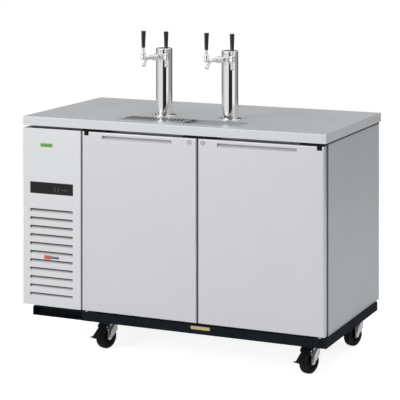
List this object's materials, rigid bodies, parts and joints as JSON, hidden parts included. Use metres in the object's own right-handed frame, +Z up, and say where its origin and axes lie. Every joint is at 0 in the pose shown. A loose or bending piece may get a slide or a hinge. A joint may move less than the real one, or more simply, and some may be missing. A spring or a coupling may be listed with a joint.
{
  "type": "kegerator",
  "caption": "wide rolling draught beer cooler with solid swing doors, louvred machine side, recessed drip tray and short chromed beer towers with paired taps",
  "frame": {"origin": "on the floor, under the centre of the closed object's bounding box", "axes": "+X to the right seen from the front (the longest extent), +Y to the back (the shortest extent), +Z up"},
  "size_m": [1.495, 0.7234, 1.4402],
  "materials": {
    "side_steel": "fine vertical brushed stainless steel, slightly darker than the fronts",
    "foam": "closed-cell polyurethane foam, pale cream, matt",
    "liner_steel": "dull stainless steel sheet",
    "frame_steel": "satin stainless steel sheet",
    "top_steel": "satin stainless steel, fine grain along the length",
    "board": "dark moisture-resistant board",
    "tray_steel": "satin stainless steel",
    "clear_hose": "milky flexible hose",
    "bracket_black": "black satin paint",
    "panel_steel": "satin stainless steel, fine vertical grain",
    "display_black": "smooth black display window",
    "base_dark": "dark grey satin paint",
    "badge_brass": "plain brass-coloured plate without markings",
    "tower_chrome": "mirror-polished chrome",
    "tap_chrome": "polished chrome",
    "port_plastic": "black moulded grommet",
    "manifold_aluminium": "plain aluminium bar",
    "coil_aluminium": "thin aluminium fins on tubes",
    "shroud_steel": "black painted sheet steel",
    "motor_black": "black enamel",
    "fan_black": "black moulded plastic",
    "compressor_black": "glossy black enamel",
    "evaporator_plastic": "light grey moulded plastic",
    "cord_black": "black rubber-sheathed cord",
    "caster_zinc": "bright zinc-plated pressed steel",
    "caster_rubber": "black rubber tread on a black wheel",
    "brake_black": "black pressed steel pedal",
    "screw_steel": "bright screws",
    "door_steel": "satin stainless steel, fine vertical grain",
    "door_liner_plastic": "grey thermoformed plastic",
    "seal_rubber": "soft black magnetic door seal",
    "lock_chrome": "nickel-plated key cylinder",
    "handle_black": "black tapered grip on a chrome ferrule"
  },
  "bodies": {
    "cabinet": {"outer_shell": "side_steel", "insulation": "foam", "inner_liner": "liner_steel", "face_frame": "frame_steel", "countertop": "top_steel", "countertop_core": "board", "drip_tray": "tray_steel", "drain_line": "clear_hose", "hinge_brackets": "bracket_black", "lock_strike": "bracket_black", "grille_panel": "panel_steel", "control_display": "display_black", "base_frame": "base_dark", "kick_plate": "base_dark", "badge_plate": "badge_brass", "tower_left": "tower_chrome", "tower_right": "tower_chrome", "faucet_shanks": "tap_chrome", "faucet_bodies": "tap_chrome", "beer_lines": "clear_hose", "gas_port": "port_plastic", "gas_manifold": "manifold_aluminium", "condenser_coil": "coil_aluminium", "condenser_shroud": "shroud_steel", "condenser_motor": "motor_black", "compressor": "compressor_black", "evaporator_cover": "evaporator_plastic", "evaporator_coil": "coil_aluminium", "evaporator_motor": "motor_black", "rear_grille": "frame_steel", "power_cord": "cord_black", "caster_mounts": "caster_zinc", "flange_screws": "screw_steel"},
    "door_left": {"door_left_skin": "door_steel", "door_left_core": "foam", "door_left_liner": "door_liner_plastic", "door_left_gasket": "seal_rubber"},
    "door_right": {"door_right_skin": "door_steel", "door_right_core": "foam", "door_right_liner": "door_liner_plastic", "door_right_gasket": "seal_rubber"},
    "lock_left": {"door_left_lock": "lock_chrome"},
    "lock_right": {"door_right_lock": "lock_chrome"},
    "drip_grid": {"drip_grid": "tray_steel"},
    "condenser_fan": {"condenser_fan": "fan_black"},
    "evaporator_fan": {"evaporator_fan": "fan_black"},
    "tap_1": {"tap_handle_1": "handle_black"},
    "tap_2": {"tap_handle_2": "handle_black"},
    "tap_3": {"tap_handle_3": "handle_black"},
    "tap_4": {"tap_handle_4": "handle_black"},
    "fork_front_left": {"caster_fork_front_left": "caster_zinc"},
    "wheel_front_left": {"caster_wheel_front_left": "caster_rubber"},
    "brake_front_left": {"caster_brake_front_left": "brake_black"},
    "fork_front_right": {"caster_fork_front_right": "caster_zinc"},
    "wheel_front_right": {"caster_wheel_front_right": "caster_rubber"},
    "brake_front_right": {"caster_brake_front_right": "brake_black"},
    "fork_rear_left": {"caster_fork_rear_left": "caster_zinc"},
    "wheel_rear_left": {"caster_wheel_rear_left": "caster_rubber"},
    "fork_rear_right": {"caster_fork_rear_right": "caster_zinc"},
    "wheel_rear_right": {"caster_wheel_rear_right": "caster_rubber"}
  },
  "joints": [
    {"name": "door_left_hinge", "type": "hinge", "parent": "cabinet", "child": "door_left", "pos_m": [-0.4142, -0.3435, 0.58], "axis": [0, 0, -1], "range_deg": [0, 120]},
    {"name": "door_right_hinge", "type": "hinge", "parent": "cabinet", "child": "door_right", "pos_m": [0.7175, -0.3435, 0.58], "axis": [0, 0, 1], "range_deg": [0, 120]},
    {"name": "lock_left_turn", "type": "hinge", "parent": "door_left", "child": "lock_left", "pos_m": [0.103, -0.3465, 0.97], "axis": [0, 1, 0], "range_deg": [0, 90]},
    {"name": "lock_right_turn", "type": "hinge", "parent": "door_right", "child": "lock_right", "pos_m": [0.169, -0.3465, 0.97], "axis": [0, -1, 0], "range_deg": [0, 90]},
    {"name": "drip_grid_lift", "type": "slide", "parent": "cabinet", "child": "drip_grid", "axis": [0, 0, 1], "range_m": [0, 0.15]},
    {"name": "condenser_fan_spin", "type": "hinge", "parent": "cabinet", "child": "condenser_fan", "pos_m": [-0.59, -0.2195, 0.4], "axis": [0, 1, 0], "continuous": true},
    {"name": "evaporator_fan_spin", "type": "hinge", "parent": "cabinet", "child": "evaporator_fan", "pos_m": [-0.324, 0.0065, 0.76], "axis": [1, 0, 0], "continuous": true},
    {"name": "tap_1_pull", "type": "hinge", "parent": "cabinet", "child": "tap_1", "pos_m": [-0.18865, -0.23236, 1.338], "axis": [0.9455, -0.3256, 0], "range_deg": [0, 30]},
    {"name": "tap_2_pull", "type": "hinge", "parent": "cabinet", "child": "tap_2", "pos_m": [-0.07853, -0.22079, 1.338], "axis": [0.8572, 0.515, 0], "range_deg": [0, 30]},
    {"name": "tap_3_pull", "type": "hinge", "parent": "cabinet", "child": "tap_3", "pos_m": [0.12349, -0.22307, 1.338], "axis": [0.8746, -0.4848, 0], "range_deg": [0, 30]},
    {"name": "tap_4_pull", "type": "hinge", "parent": "cabinet", "child": "tap_4", "pos_m": [0.25051, -0.22307, 1.338], "axis": [0.8746, 0.4848, 0], "range_deg": [0, 30]},
    {"name": "caster_front_left_swivel", "type": "hinge", "parent": "cabinet", "child": "fork_front_left", "pos_m": [-0.337, -0.2585, 0.118], "axis": [0, 0, 1], "continuous": true},
    {"name": "caster_front_left_roll", "type": "hinge", "parent": "fork_front_left", "child": "wheel_front_left", "pos_m": [-0.34742, -0.28876, 0.05], "axis": [0.9455, -0.3256, 0], "continuous": true},
    {"name": "caster_front_left_brake_press", "type": "hinge", "parent": "fork_front_left", "child": "brake_front_left", "pos_m": [-0.35328, -0.30578, 0.102], "axis": [0.9455, -0.3256, 0], "range_deg": [0, 5], "stiffness_Nm_per_rad": 1},
    {"name": "caster_front_right_swivel", "type": "hinge", "parent": "cabinet", "child": "fork_front_right", "pos_m": [0.655, -0.2585, 0.118], "axis": [0, 0, 1], "continuous": true},
    {"name": "caster_front_right_roll", "type": "hinge", "parent": "fork_front_right", "child": "wheel_front_right", "pos_m": [0.64458, -0.28876, 0.05], "axis": [0.9455, -0.3256, 0], "continuous": true},
    {"name": "caster_front_right_brake_press", "type": "hinge", "parent": "fork_front_right", "child": "brake_front_right", "pos_m": [0.63872, -0.30578, 0.102], "axis": [0.9455, -0.3256, 0], "range_deg": [0, 5], "stiffness_Nm_per_rad": 1},
    {"name": "caster_rear_left_swivel", "type": "hinge", "parent": "cabinet", "child": "fork_rear_left", "pos_m": [-0.337, 0.1915, 0.118], "axis": [0, 0, 1], "continuous": true},
    {"name": "caster_rear_left_roll", "type": "hinge", "parent": "fork_rear_left", "child": "wheel_rear_left", "pos_m": [-0.34742, 0.16124, 0.05], "axis": [0.9455, -0.3256, 0], "continuous": true},
    {"name": "caster_rear_right_swivel", "type": "hinge", "parent": "cabinet", "child": "fork_rear_right", "pos_m": [0.69, 0.1915, 0.118], "axis": [0, 0, 1], "continuous": true},
    {"name": "caster_rear_right_roll", "type": "hinge", "parent": "fork_rear_right", "child": "wheel_rear_right", "pos_m": [0.67958, 0.16124, 0.05], "axis": [0.9455, -0.3256, 0], "continuous": true}
  ]
}
